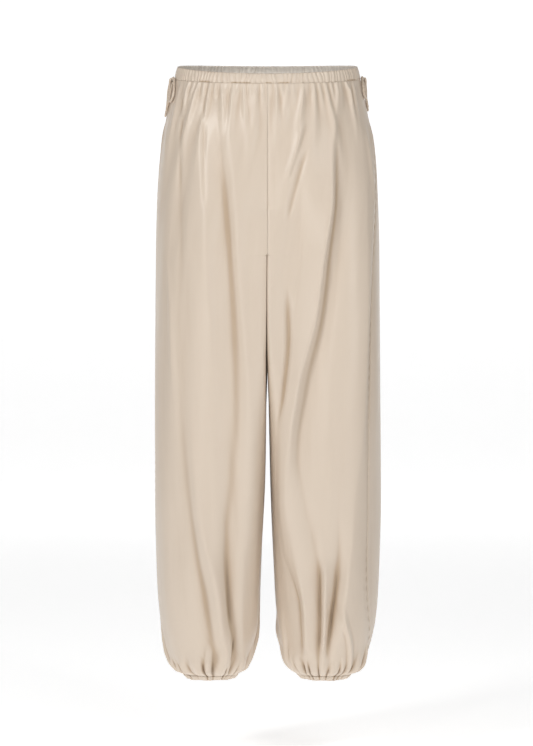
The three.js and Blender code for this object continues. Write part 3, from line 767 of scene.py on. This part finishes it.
@dataclass
class LegPanel:
    """A front or back leg panel: its plain form, its folds and gathers, and its wall."""

    leg: Leg
    face: Face
    wall: float = 1.2
    ridge_count: int = 20
    noise_broad: float = 0.8
    noise_fine: float = 0.07
    facet_scale: float = 1.45
    centre_ease: float = 70.0
    touching: float = 1.5
    turn_arc: float = 3.3
    turn_growth: float = 0.12
    down: np.ndarray = field(init=False)
    across: np.ndarray = field(init=False)
    place: np.ndarray = field(init=False)
    out: np.ndarray = field(init=False)
    straight: np.ndarray = field(init=False)
    total: np.ndarray = field(init=False)
    edge: np.ndarray = field(init=False)

    @property
    def seed(self) -> int:
        """The seed of this panel's uneven folds."""
        return 11 + 7 * self.leg.value + 3 * self.face.value

    def rows(self) -> np.ndarray:
        """Returns the level of each row of points."""
        levels = [0.0]
        for band in PANEL_ROWS:
            start = levels[-1]
            count = round((band.to - start) / band.pitch)
            levels += [start + (band.to - start) * (k + 1) / count for k in range(count)]
        return np.array(levels)

    def sections(self, downs: np.ndarray) -> tuple[np.ndarray, np.ndarray, np.ndarray]:
        """Traces the plain section at each level, from the side seam round to the other seam.

        Args:
            downs: The levels.

        Returns:
            The sections' x and y, and the part of the way round at which each one turns in.
        """
        names = ("outer", "inner", "front", "back", "square", "inner_square", "mid")
        size = {name: column(LEVELS, name, downs) for name in names}
        side, forward, word = self.leg.value, self.face.value, self.leg.word
        start = np.radians(column(SEAM_LEVELS, f"{word}_side", downs))
        seam_share = column(SEAM_LEVELS, f"{word}_inner", downs)
        turn = column(SEAM_LEVELS, "turn", downs)
        reach = self.centre_ease * between(downs, 140, 250) * smooth((560 - downs) / 110)
        nearby = [downs + reach * step for step in np.linspace(-1, 1, 15)]
        middles = [(column(LEVELS, "outer", at) + column(LEVELS, "inner", at)) / 2 for at in nearby]
        centre = np.mean(middles, axis=0)
        half = centre - size["inner"]
        joined = size["inner"] < 0
        square = size["inner_square"]
        share = np.clip(np.where(joined, centre / half, 0), 0, 1)
        at_middle = forward * np.arccos(-(share ** (square / 2)))
        at_inseam = forward * math.pi - np.arcsin(seam_share ** (square / 2))
        end = np.where(joined, at_middle, at_inseam)
        steps = np.linspace(0, 1, SECTION_STEPS)[None, :]
        angle = start[:, None] + (end - start)[:, None] * steps
        inward = np.cos(angle) < 0
        power = 2 / np.where(inward, size["inner_square"][:, None], size["square"][:, None])
        width = np.where(inward, half[:, None], (size["outer"] - centre)[:, None])
        out = centre[:, None] + width * signed_power(np.cos(angle), power)
        depth = np.where(np.sin(angle) > 0, size["front"][:, None], size["back"][:, None])
        y = size["mid"][:, None] - depth * signed_power(np.sin(angle), power)
        y[:, -1] = np.where(joined, y[:, -1], size["mid"] - size["front"] * seam_share)
        turned = turn[:, None] * (y - size["mid"][:, None]) * np.clip(-np.cos(angle), 0, None) ** 4
        x = side * out + turned
        turned_in = np.maximum(0.93 - 0.43 * between(downs, 420, 820), seam_share + 0.08)
        at_corner = np.maximum(turned_in, (1 - share**square) ** (1 / square))
        turned_in = np.where(joined, at_corner, turned_in)
        corner = forward * (math.pi - np.arcsin(turned_in ** (square / 2)))
        return x, y, np.clip((corner - start) / (end - start), 0, 1)

    def lay_out(self) -> None:
        """Divides the panel's sections evenly from the side seam to the other one."""
        downs = self.rows()
        x, y, part = self.sections(downs)
        steps = np.linspace(0, 1, SECTION_STEPS)
        lengths = np.cumsum(np.pad(np.hypot(np.diff(x), np.diff(y)), ((0, 0), (1, 0))), axis=1)
        self.total = lengths[:, -1]
        near = np.abs(x) <= np.abs(x).min(axis=1, keepdims=True) + self.touching
        turning = lengths[np.arange(len(downs)), near.argmax(axis=1)]
        self.edge = turning + (self.total - turning) * between(downs, 450, 700)
        face_arc = np.array([np.interp(part[k], steps, lengths[k]) for k in range(len(downs))])
        leaving = turning + self.turn_arc + self.turn_growth * (downs - CROTCH_DOWN)
        joined = column(LEVELS, "inner", downs) < 0
        face_arc = np.where(joined, face_arc, np.minimum(face_arc, leaving))[:, None]
        wall_arc = self.total[:, None] - face_arc
        over_face = np.linspace(0, 1, FACE_COLUMNS + 1)[None, :]
        over_wall = np.linspace(0, 1, WALL_COLUMNS + 1)[None, 1:]
        trim = SEAM_GAP / 8
        across = np.hstack([over_face * face_arc, face_arc + over_wall * wall_arc])
        self.across = np.clip(across, trim, self.total[:, None] - trim)
        self.down = np.repeat(downs[:, None], self.across.shape[1], axis=1)
        self.place = np.stack(
            [
                np.stack([np.interp(a, lengths[k], x[k]), np.interp(a, lengths[k], y[k])], axis=1)
                for k, a in enumerate(self.across)
            ]
        )
        self.face_out(downs)

    def face_out(self, downs: np.ndarray) -> None:
        """Works out which way is out at each place, straight ahead beside the middle seam."""
        way = np.gradient(self.place, axis=1)
        way /= np.maximum(np.linalg.norm(way, axis=2, keepdims=True), TINY)
        hand = self.leg.value * self.face.value
        out = np.stack([-way[..., 1] * hand, way[..., 0] * hand], axis=2)
        from_middle = self.total[:, None] - self.across
        above_crotch = smooth((CROTCH_DOWN - downs) / 14)[:, None]
        self.straight = ((1 - smooth(from_middle / 18)) * above_crotch)[..., None]
        out = out * (1 - self.straight) + np.array([0.0, -self.face.value]) * self.straight
        self.out = out / np.linalg.norm(out, axis=2, keepdims=True)

    def fold_height(self) -> np.ndarray:
        """Returns the height of the long folds."""
        height = np.zeros_like(self.down)
        downs = self.down[:, 0]
        reach = np.abs(self.place[..., 0])
        for fold in FOLDS:
            if fold.leg is not self.leg or fold.face is not self.face:
                continue
            route = np.array(sorted(fold.route, key=lambda place: place[1]), dtype=float)
            first, last = route[0, 1], route[-1, 1]
            line = monotone(route[:, 1], route[:, 0], downs)
            share = (downs - first) / (last - first)
            strength = smooth(share * 4) * smooth((1 - share) * 4)
            for k in np.flatnonzero(strength > 0):
                at = np.interp(-line[k], -reach[k], self.across[k])
                away = self.across[k] - at
                width = np.where(away < 0, fold.outward_width, fold.inward_width)
                height[k] += fold.height * strength[k] * np.exp(-((away / width) ** 2))
        return height

    def facet_height(self) -> np.ndarray:
        """Returns the height of the broad facets between the front's crests."""
        height = np.zeros_like(self.down)
        if self.face is Face.BACK:
            return height
        downs = self.down[:, 0]
        routes = [np.array(crest.route, dtype=float) for crest in CRESTS if crest.leg is self.leg]
        lines = np.stack([monotone(route[:, 1], route[:, 0], downs) for route in routes], axis=1)
        heights = np.stack([monotone(route[:, 1], route[:, 2], downs) for route in routes], axis=1)
        ends = between(downs, 20, 90) * smooth((PANEL_LENGTH - downs) / 60)
        reach = np.abs(self.place[..., 0])
        for k in range(len(downs)):
            at = np.interp(-lines[k], -reach[k], self.across[k])
            at = np.concatenate(([0.0], np.maximum.accumulate(at), [self.edge[k]]))
            height[k] = np.interp(self.across[k], at, np.concatenate(([0.0], heights[k] * ends[k], [0.0])))
        height *= self.facet_scale
        edge = np.pad(height, ((0, 0), (3, 3)), mode="edge")
        rounding = np.array((1, 2, 3, 4, 3, 2, 1)) / 16
        return sum(edge[:, k : k + height.shape[1]] * share for k, share in enumerate(rounding))

    def waist_gathers(self) -> np.ndarray:
        """Returns the height of the narrow gathers under the waistband, long and short in turn."""
        chance = np.random.default_rng(self.seed)
        near = self.down[:, 0] < 275
        down, across, total = self.down[near], self.across[near], self.total[near][:, None]
        height = np.zeros_like(self.down)
        part = np.zeros_like(down)
        for k in range(self.ridge_count):
            long = k % 2 == 0
            at = (k + 0.5 + chance.uniform(-0.3, 0.3)) / self.ridge_count
            reach = chance.uniform(110, 270) if long else chance.uniform(32, 95)
            tall = chance.uniform(3.4, 5.8) if long else chance.uniform(2.2, 4.0)
            width = (2.5 + chance.uniform(0, 1.2)) * (1 + down / (62 if long else 45))
            drift = chance.uniform(-0.13, 0.13) * down + chance.uniform(-3, 3) * np.sin(down / 31 + k)
            away = across - (at * total + drift)
            part += tall * (1 - smooth(down / reach)) * np.exp(-((away / width) ** 2))
        height[near] = part * (0.42 + 0.58 * smooth(down / 20))
        return height

    def hem_gathers(self) -> np.ndarray:
        """Returns the height of the pleats above the hem casing."""
        up = PANEL_LENGTH - self.down
        return hem_pleats(self.leg, self.face, self.across / self.total[:, None], up)

    def seam_puckers(self) -> np.ndarray:
        """Returns the dip along each seam and the small puckers beside it."""
        chance = np.random.default_rng(self.seed + 200)
        downs = self.down
        height = np.zeros_like(downs)
        left = self.leg is Leg.LEFT
        clear = smooth(np.abs(downs - CROTCH_DOWN) / 24)
        edges = (
            (self.across, 1.15 if left else 0.6, 17.0, 0.8, 1.0),
            (self.total[:, None] - self.across, 0.3, 21.0, 0.3, clear),
        )
        for away, tall, pitch, dip, kept in edges:
            phase = chance.uniform(0, 6)
            sway = phase + 0.9 * np.sin(downs / 37 + phase)
            beat = np.cos(2 * math.pi * (downs + away * 0.35) / pitch + sway)
            swell = tall * (0.55 + 0.45 * np.sin(downs / 61 + 2 * phase))
            height += swell * kept * beat * np.exp(-away / 6.5) * smooth(away / 1.5)
            height -= dip * kept * np.exp(-((away / 2.0) ** 2))
        return height

    def height(self) -> np.ndarray:
        """Returns the height of all the folds, calm at the seams and between the thighs."""
        seam = np.minimum(self.across, self.total[:, None] - self.across)
        calm = smooth(np.minimum(self.across, self.edge[:, None] - self.across) / 14)
        top = smooth(self.down / 40)
        ripple = waves(self.across, self.down, self.seed + 1, 12, 66, 640) * self.noise_broad
        ripple = ripple + waves(self.across, self.down, self.seed + 2, 16, 15, 210) * self.noise_fine
        raised = (self.fold_height() + self.facet_height() + ripple * top) * calm
        gathered = smooth(seam / 5)
        at_hem = smooth((self.down - PANEL_LENGTH + 60) / 50)
        at_seam = 1.4 * (1 - smooth(self.down / 90)) + 2.4 * at_hem
        raised = raised + (self.waist_gathers() + self.hem_gathers()) * gathered + at_seam * (1 - gathered)
        raised = raised + self.seam_puckers()
        bow = 1 - smooth((self.across - (36 if self.face is Face.FRONT else 24)) / 24)
        raised = raised * (1 - 0.86 * bow * (1 - between(self.down, 66, 106)))
        outside = smooth(np.abs(self.place[..., 0]) / 7)
        held = 1 - smooth((self.down - CROTCH_DOWN + 25) / 30) * (1 - outside)
        return np.where(raised > 0, raised * held, raised)

    def raised(self, height: np.ndarray) -> np.ndarray:
        """Returns the panel's places, raised over its plain form and tilted towards the waist."""
        z = WAIST_SEAM_Z - SEAM_GAP - self.down
        plain = np.dstack([self.place, z])
        along = -np.gradient(plain, axis=0)
        round_leg = np.gradient(plain, axis=1)
        normal = np.cross(round_leg, along)
        normal /= np.maximum(np.linalg.norm(normal, axis=2, keepdims=True), TINY)
        level = np.dstack([self.out, np.zeros_like(z)])
        normal *= np.sign((normal * level).sum(axis=2, keepdims=True))
        share = smooth(self.down / 25) * smooth((PANEL_LENGTH - self.down) / 12)
        near_crotch = np.exp(-(((self.down - CROTCH_DOWN) / 45) ** 2))
        share = (share * (1 - near_crotch))[..., None] * (1 - self.straight)
        towards = level * (1 - share) + normal * share
        places = plain + towards * height[..., None]
        tilt = WAIST_TILT * (1 - smooth(self.down / WAIST_TILT_ENDS))
        places[..., 2] += tilt * places[..., 1]
        return places

    def shade(self, height: np.ndarray) -> np.ndarray:
        """Returns the painted shade for the finish: how deep each place lies in a hollow, darker still at
        the hem, lower down the leg and beside the side seam.
        """
        # painted shade: creases darken more near the hem and lower down the leg
        pocket_shade = 1 + 1.1 * smooth((self.down - PANEL_LENGTH + 30) / 30)
        fine = sum(hollows(height, *scale) * share for scale, share in FINE_HOLLOWS) * pocket_shade
        lower = 0.35 * between(self.down, 700, 850) + 0.7 * between(self.down, 930, 980)
        broad = hollows(height, *BROAD_HOLLOWS) * (0.4 + lower)
        # painted shade beside the side seam, where the cloth turns away from the light
        side_seam_shade = 0.35 * np.exp(-self.across / 12) * smooth(self.down / 60)
        return fine + broad + side_seam_shade

    def build(self, wardrobe: Wardrobe) -> bpy.types.Object:
        """Makes the panel.

        Args:
            wardrobe: The finishes.

        Returns:
            The finished piece.
        """
        self.lay_out()
        height = self.height()
        name = f"{self.face.word}_panel_{self.leg.word}"
        grid = ClothGrid(
            f"{name}_satin",
            self.raised(height),
            self.across,
            self.down,
            self.shade(height),
            self.wall,
            (self.leg.value * LEG_MIDDLE, 0.0),
        )
        piece = grid.build(wardrobe, name)
        return piece


@dataclass
class Waistband:
    """The elastic waistband casing, made as a front and a back half with fine gathers."""

    face: Face
    ribs: int = 62
    rib_depth: float = 1.6
    swell: float = 0.9
    taper: float = 5.0
    side_rise: float = 4.3
    back_drop: float = 2.0
    wall: float = 2.4
    columns: int = 432
    rows: int = 13

    def build(self, wardrobe: Wardrobe) -> bpy.types.Object:
        """Makes half of the waistband.

        Args:
            wardrobe: The finishes.

        Returns:
            The finished piece.
        """
        chance = np.random.default_rng(31 + self.face.value)
        level, share = unit_grid(self.rows, self.columns + 1)
        top = section_at(0.0, "outer", self.face.word)
        narrowing = self.taper * (1 - level) - self.swell * np.sin(math.pi * level)
        wide, depth = top["outer"] - narrowing, top[self.face.word] - narrowing
        trim = SEAM_GAP / 4 / top["outer"]
        angle = np.clip(math.pi * share, trim, math.pi - trim)
        x = -wide * np.cos(angle)
        y = -self.face.value * depth * np.sin(angle)
        out = np.dstack([x / wide**2, y / depth**2])
        out /= np.linalg.norm(out, axis=2, keepdims=True)
        edges = np.arange(1, self.ribs) + chance.uniform(-0.32, 0.32, self.ribs - 1)
        edges = np.concatenate(([0], edges, [self.ribs])) / self.ribs
        sway = 0.25 * np.sin(level * 2.4 + share * 40) / self.ribs * np.sin(math.pi * share)
        rib = np.zeros_like(share)
        for k in range(self.ribs):
            phase = np.clip((share + sway - edges[k]) / (edges[k + 1] - edges[k]), 0, 1)
            tall = self.rib_depth * chance.uniform(0.55, 1.0)
            pinch = 1 - chance.uniform(0, 0.45) * np.exp(-(((level - chance.uniform(0.2, 0.8)) / 0.25) ** 2))
            rib += tall * pinch * np.sin(math.pi * phase) ** 0.95
        seam = np.exp(-(((level - 0.9) / 0.05) ** 2)) * 0.5
        arc = np.cumsum(np.pad(np.hypot(np.diff(x), np.diff(y)), ((0, 0), (1, 0))), axis=1)
        at_side = (x / wide) ** 2
        rib *= 1 - 0.75 * smooth((at_side - 0.93) / 0.06)
        height = rib - seam
        rise = self.side_rise * at_side - (self.back_drop * (1 - at_side) if self.face is Face.BACK else 0)
        z = BAND_HEIGHT / 2 - BAND_HEIGHT * level + (1 - level) * (rise + (rib - 1) * 0.35)
        x, y = x + out[..., 0] * height, y + out[..., 1] * height
        places = np.dstack([x, y, z + WAIST_TILT * y])
        name = f"waistband_{self.face.word}"
        # painted shade in the hollows between the ribs
        crease = hollows(height, 3, 1.1) * 0.9
        if self.face is Face.BACK:
            places, arc, crease = places[:, ::-1], arc[:, ::-1], crease[:, ::-1]
        else:
            # painted shadow under the band where its seam gapes
            for start, end in STITCH_SHADOWS:
                along = smooth((x - start) / 2) * smooth((end - x) / 2)
                crease = crease + 1.3 * along * smooth((level - 0.86) / 0.1)
        grid = ClothGrid(f"{name}_satin", places, arc, BAND_HEIGHT * level, crease, self.wall, (0.0, 0.0))
        piece = grid.build(wardrobe, name)
        return piece


@dataclass
class HemCasing:
    """A narrow elastic ring that draws a leg in."""

    leg: Leg
    narrows: float = 7.0
    wall: float = 1.8
    columns: int = 360
    rows: int = 11

    def build(self, wardrobe: Wardrobe) -> bpy.types.Object:
        """Makes the ring.

        Args:
            wardrobe: The finishes.

        Returns:
            The finished piece.
        """
        at = np.array(PANEL_LENGTH)
        end = section_at(PANEL_LENGTH, "outer", "inner", "front", "mid")
        start = math.radians(float(column(SEAM_LEVELS, f"{self.leg.word}_side", at)))
        inner = math.asin(float(column(SEAM_LEVELS, f"{self.leg.word}_inner", at)))
        level, share = unit_grid(self.rows, self.columns + 1)
        angle = start + 2 * math.pi * share
        radius = self.narrows * level**1.4
        wide, depth = (end["outer"] - end["inner"]) / 2 - radius, end["front"] - radius
        front = np.clip((angle - start) / (math.pi - inner - start), 0, 1)
        back = np.clip((start + 2 * math.pi - angle) / (math.pi + inner + start), 0, 1)
        up = -CASING_HEIGHT * level
        height = np.where(front < 1, hem_pleats(self.leg, Face.FRONT, front, up), 0)
        height = height + np.where(front < 1, 0, hem_pleats(self.leg, Face.BACK, back, up))
        middle = (self.leg.value * (end["outer"] + end["inner"]) / 2, end["mid"])
        x = middle[0] + self.leg.value * (wide + height) * np.cos(angle)
        y = middle[1] - (depth + height) * np.sin(angle)
        z = WAIST_SEAM_Z - 2 * SEAM_GAP - PANEL_LENGTH - CASING_HEIGHT * level
        z = z + level * 0.8 * np.sin(3 * angle + self.leg.value) * np.cos(5 * angle)
        places = np.dstack([x, y, z])
        places[:, -1] = places[:, 0]
        arc = share * 2 * math.pi * float(wide.mean())
        name = f"hem_casing_{self.leg.word}"
        # painted shade in the hollows between the pleats
        crease = hollows(height, 5, 2.2) * 1.5
        grid = ClothGrid(f"{name}_satin", places, arc, CASING_HEIGHT * level, crease, self.wall, middle)
        piece = grid.build(wardrobe, name)
        return piece


@dataclass(frozen=True)
class CordPlace:
    """A place on a cord: how far it stands off the cloth, how far forward of the knot, and how far down."""

    lift: float
    forward: float
    down: float


@dataclass(frozen=True)
class Strand:
    """One loop or free end of a bow."""

    name: str
    loop: bool
    route: tuple[CordPlace, ...]


STRANDS = (
    Strand(
        "loop_front",
        True,
        (
            CordPlace(5.85, 5.7, 0), CordPlace(6.05, 11, 5), CordPlace(6.25, 18, 17),
            CordPlace(5.85, 21, 30), CordPlace(5.65, 17.5, 39), CordPlace(6.15, 11, 39),
            CordPlace(7.15, 7.5, 29), CordPlace(7.45, 5.6, 17), CordPlace(6.05, 3.4, 6.4),
        ),
    ),
    Strand(
        "loop_back",
        True,
        (
            CordPlace(5.85, -5.2, 0), CordPlace(6.05, -12, 4), CordPlace(6.05, -21, 13),
            CordPlace(5.65, -29, 25), CordPlace(5.45, -31, 34), CordPlace(5.65, -25, 38),
            CordPlace(6.25, -18, 31), CordPlace(6.65, -12, 20.5), CordPlace(5.55, -4.6, 6.8),
        ),
    ),
    Strand(
        "end_front",
        False,
        (
            CordPlace(10.65, 0.9, -1), CordPlace(13.2, 1.6, 2.2), CordPlace(10.9, 0.9, 13),
            CordPlace(6.7, -0.6, 27), CordPlace(5.8, -2.5, 43), CordPlace(5.6, -3.5, 58),
        ),
    ),
    Strand(
        "end_back",
        False,
        (
            CordPlace(8.95, -1.7, 3.1), CordPlace(11.4, -5, 8.5), CordPlace(10.9, -7.6, 20),
            CordPlace(8, -10, 35), CordPlace(6, -11.5, 50), CordPlace(5.6, -12, 64),
        ),
    ),
)


@dataclass
class SideTie:
    """The bow of drawcord at one side of the waistband."""

    leg: Leg
    diameter: float = 4.0
    knot_lift: float = 5.85
    knot_across: float = 5.6
    rest: float = 3.4
    slack: float = 0.7
    knot_along: float = 9.0
    knot_tall: float = 8.0
    steps: int = 8

    @property
    def forward(self) -> float:
        """How far the knot sits in front of the side seam."""
        return 14.0 if self.leg is Leg.RIGHT else 2.0

    @property
    def length(self) -> float:
        """How long this bow hangs, as a share of the drawn one."""
        return 1.0 if self.leg is Leg.RIGHT else 0.86

    def place(self, point: CordPlace) -> Vector:
        """Returns where a place on the cord is, in metres."""
        y = -self.forward - point.forward
        down = point.down * self.length
        size = section_at(max(down, 0.0), "outer", "inner", "front", "back", "square", "mid")
        half = (size["outer"] - size["inner"]) / 2
        depth = size["front"] if y < size["mid"] else size["back"]
        share = abs((y - size["mid"]) / depth) ** size["square"]
        reach = (size["outer"] + size["inner"]) / 2 + half * (1 - share) ** (1 / size["square"])
        tilt = WAIST_TILT * (1 - float(smooth(np.array(down / WAIST_TILT_ENDS))))
        z = WAIST_SEAM_Z - down - tilt * self.forward
        lift = self.rest + (point.lift - self.knot_lift) * self.slack
        return Vector((self.leg.value * (reach + lift), y, z)) * MM

    def line(self, strand: Strand) -> list[Vector]:
        """Returns the smooth line of a strand as close points."""
        knots = [self.place(point) for point in strand.route]
        start = knots[0] * 2 - knots[1]
        finish = knots[-1] * 2 - knots[-2]
        held = [start, *knots, finish]
        points = []
        for k in range(1, len(held) - 2):
            a, b, c, d = held[k - 1 : k + 3]
            for step in range(self.steps):
                t = step / self.steps
                bend = 2 * a - 5 * b + 4 * c - d
                twist = 3 * b - a - 3 * c + d
                points.append((2 * b + (c - a) * t + bend * t * t + twist * t**3) * 0.5)
        points.append(knots[-1])
        return points

    def build_strand(self, strand: Strand, wardrobe: Wardrobe) -> bpy.types.Object:
        """Makes one strand as a curve.

        Args:
            strand: The loop or the free end.
            wardrobe: The finishes.

        Returns:
            The finished piece.
        """
        points = self.line(strand)
        name = f"tie_{strand.name}_{self.leg.word}"
        curve = bpy.data.curves.new(f"{name}_cord", "CURVE")
        curve.dimensions = "3D"
        curve.bevel_depth = self.diameter / 2 * MM
        curve.bevel_resolution = 5
        curve.use_fill_caps = True
        spline = curve.splines.new("POLY")
        spline.points.add(len(points) - 1)
        for k, point in enumerate(points):
            spline.points[k].co = (*point, 1.0)
            from_tip = len(points) - 1 - k
            spline.points[k].radius = 1.0 if strand.loop else (0.55, 0.86, 1.0)[min(from_tip, 2)]
        spline.use_smooth = True
        piece = shown(f"{name}_cord", curve, wardrobe.cord)
        claim(piece, name)
        length = sum((b - a).length for a, b in zip(points, points[1:]))
        return piece

    def build_knot(self, wardrobe: Wardrobe) -> bpy.types.Object:
        """Makes the knot: a small crossed bundle of cord."""
        name = f"tie_knot_{self.leg.word}"
        shape = bmesh.new()
        bmesh.ops.create_icosphere(shape, subdivisions=5, radius=0.5)
        centre = self.place(CordPlace(self.knot_lift, 0, 0))
        for vert in shape.verts:
            x, y, z = vert.co.normalized()
            band = abs(math.sin(2.2 * math.atan2(z, y) + 1.4 * x))
            groove = 1 - 0.2 * math.exp(-((band / 0.34) ** 2)) + 0.05 * math.sin(5 * y + 2 * z)
            stretched = Vector((x * self.knot_across, y * self.knot_along, z * self.knot_tall))
            vert.co = stretched * (0.5 * groove * MM)
        bmesh.ops.translate(shape, verts=shape.verts, vec=centre)
        piece = shown(f"{name}_wrap", smooth_mesh(f"{name}_wrap", shape), wardrobe.cord)
        claim(piece, name)
        return piece

    def build(self, wardrobe: Wardrobe) -> list[bpy.types.Object]:
        """Makes the knot and its strands."""
        return [self.build_knot(wardrobe), *(self.build_strand(strand, wardrobe) for strand in STRANDS)]


@dataclass(frozen=True)
class SoftBox:
    """A soft light that faces the garment: its place and size in metres, and its power in watts."""

    name: str
    place: tuple[float, float, float]
    size: tuple[float, float]
    watts: float


SOFT_BOXES = (
    SoftBox("key_box", (-2.2, -2.5, 1.6), (0.7, 1.5), 49),
    SoftBox("left_strip", (-1.05, -3.3, 0.16), (0.22, 1.9), 12.5),
    SoftBox("right_strip", (1.9, -2.9, 0.16), (0.22, 1.9), 14),
    SoftBox("top_box", (0.8, -1.4, 1.3), (1.4, 1.0), 13.5),
)


@dataclass
class Studio:
    """The pale ground, the soft lights and the camera at the photograph's angle."""

    distance: float = 4.0
    frame_height: float = 1.2757
    eye: tuple[float, float] = (-0.0017, -0.5118)
    sensor: float = 36.0
    floor: float = -1.165
    near: float = 6.0
    far: float = 7.2
    bend: float = 1.6
    rise: float = 5.0
    half_width: float = 8.0
    room_light: float = 0.15

    def build_camera(self) -> bpy.types.Object:
        """Makes the level camera that looks at the garment's front."""
        data = bpy.data.cameras.new("front_camera")
        data.sensor_fit = "AUTO"
        data.sensor_width = self.sensor
        data.lens = self.sensor * self.distance / self.frame_height
        camera = bpy.data.objects.new("front_camera", data)
        camera.location = (self.eye[0], -self.distance, self.eye[1])
        camera.rotation_euler = (math.pi / 2, 0, 0)
        bpy.context.collection.objects.link(camera)
        bpy.context.scene.camera = camera
        return camera

    def build_ground(self, wardrobe: Wardrobe) -> bpy.types.Object:
        """Makes the floor and the backdrop as one sweep."""
        shape = bmesh.new()
        bmesh.ops.create_grid(shape, x_segments=2, y_segments=64, size=1.0)
        quarter = self.bend * math.pi / 2
        for vert in shape.verts:
            run = (vert.co.y + 1) / 2 * (self.far + self.near + quarter + self.rise)
            past = run - self.near - self.far
            if past <= 0:
                y, z = run - self.near, 0.0
            elif past < quarter:
                y = self.far + self.bend * math.sin(past / self.bend)
                z = self.bend - self.bend * math.cos(past / self.bend)
            else:
                y, z = self.far + self.bend, self.bend + past - quarter
            vert.co = (vert.co.x * self.half_width, y, z + self.floor)
        ground = shown("paper_sweep", smooth_mesh("paper_sweep", shape), wardrobe.paper)
        return ground

    def build_light(self, box: SoftBox) -> bpy.types.Object:
        """Makes a soft box that faces the garment."""
        data = bpy.data.lights.new(box.name, "AREA")
        data.shape = "RECTANGLE"
        data.size, data.size_y = box.size
        data.energy = box.watts
        light = bpy.data.objects.new(box.name, data)
        light.location = box.place
        towards = Vector((0, 0, -0.5)) - Vector(box.place)
        light.rotation_euler = towards.to_track_quat("-Z", "Y").to_euler()
        bpy.context.collection.objects.link(light)
        return light

    def build_world(self) -> None:
        """Makes the even white surroundings."""
        world = bpy.data.worlds.new("white_room")
        world.use_nodes = True
        background = world.node_tree.nodes["Background"]
        background.inputs["Color"].default_value = (1.0, 1.0, 1.0, 1.0)
        background.inputs["Strength"].default_value = self.room_light
        bpy.context.scene.world = world

    def build(self, wardrobe: Wardrobe) -> None:
        """Makes the ground, the lights and the white room."""
        self.build_world()
        self.build_ground(wardrobe)
        for box in SOFT_BOXES:
            self.build_light(box)
        bpy.context.scene.view_settings.view_transform = "Standard"


def report(name: str, build: Callable[[Wardrobe], object], wardrobe: Wardrobe) -> None:
    """Builds a part of the scene and says that it is there."""
    build(wardrobe)
    log.info("built %s", name)


def main() -> None:
    """Builds the studio and every piece of the garment in order."""
    logging.basicConfig(level=logging.INFO, format="%(message)s")
    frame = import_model()
    log.info("loaded %d nodes", len(frame["nodes"]))
    studio = Studio()
    studio.build_camera()
    wardrobe = Wardrobe()
    for leg in Leg:
        report(f"{leg.word} side tie", SideTie(leg).build, wardrobe)
    for leg in Leg:
        for face in Face:
            report(f"{face.word} panel {leg.word}", LegPanel(leg, face).build, wardrobe)
    for face in Face:
        report(f"{face.word} waistband", Waistband(face).build, wardrobe)
    for leg in Leg:
        report(f"{leg.word} hem casing", HemCasing(leg).build, wardrobe)
    report("studio", studio.build, wardrobe)


if __name__ == "__main__":
    main()
